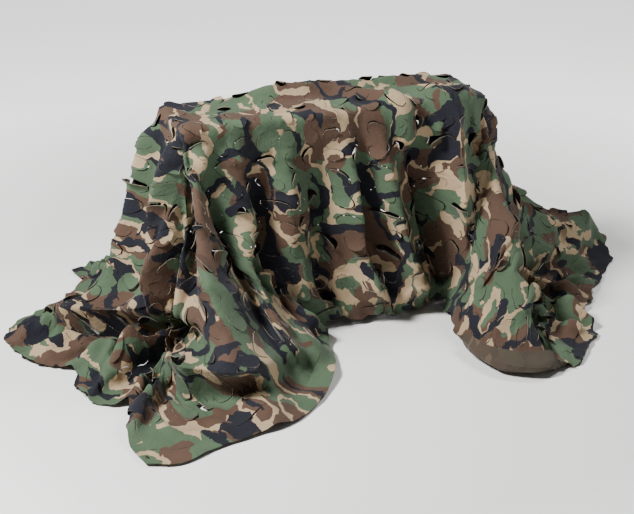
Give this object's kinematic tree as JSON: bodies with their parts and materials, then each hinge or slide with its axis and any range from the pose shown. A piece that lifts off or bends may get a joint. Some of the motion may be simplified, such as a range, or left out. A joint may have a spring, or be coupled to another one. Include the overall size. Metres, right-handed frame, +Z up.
{
  "type": "camouflage net draped over a table",
  "caption": "Camouflage net of leaf-cut woodland-print cloth with a plain border and corner eyelets, draped over a plain narrow table so that it trails on the floor.",
  "frame": {"origin": "middle of the draped outline, at the floor", "axes": "+Z up, +X along the table to the right, +Y to the back, so the front faces -Y"},
  "size_m": [2.2822, 1.6608, 0.7589],
  "materials": {
    "printed_cloth": "matt woven polyester, woodland print, leaf-shaped cuts",
    "hem_cloth": "matt woven polyester, uncut printed border",
    "eyelet_metal": "dull nickel-coloured metal",
    "table_wood": "plain dark-stained wood, matt"
  },
  "bodies": {
    "root": {"net_field": "printed_cloth", "hem_strip": "hem_cloth", "eyelet_front_left": "eyelet_metal", "eyelet_front_right": "eyelet_metal", "eyelet_back_right": "eyelet_metal", "eyelet_back_left": "eyelet_metal", "table_top": "table_wood", "table_leg_front_left": "table_wood", "table_leg_front_right": "table_wood", "table_leg_back_left": "table_wood", "table_leg_back_right": "table_wood"}
  },
  "joints": []
}
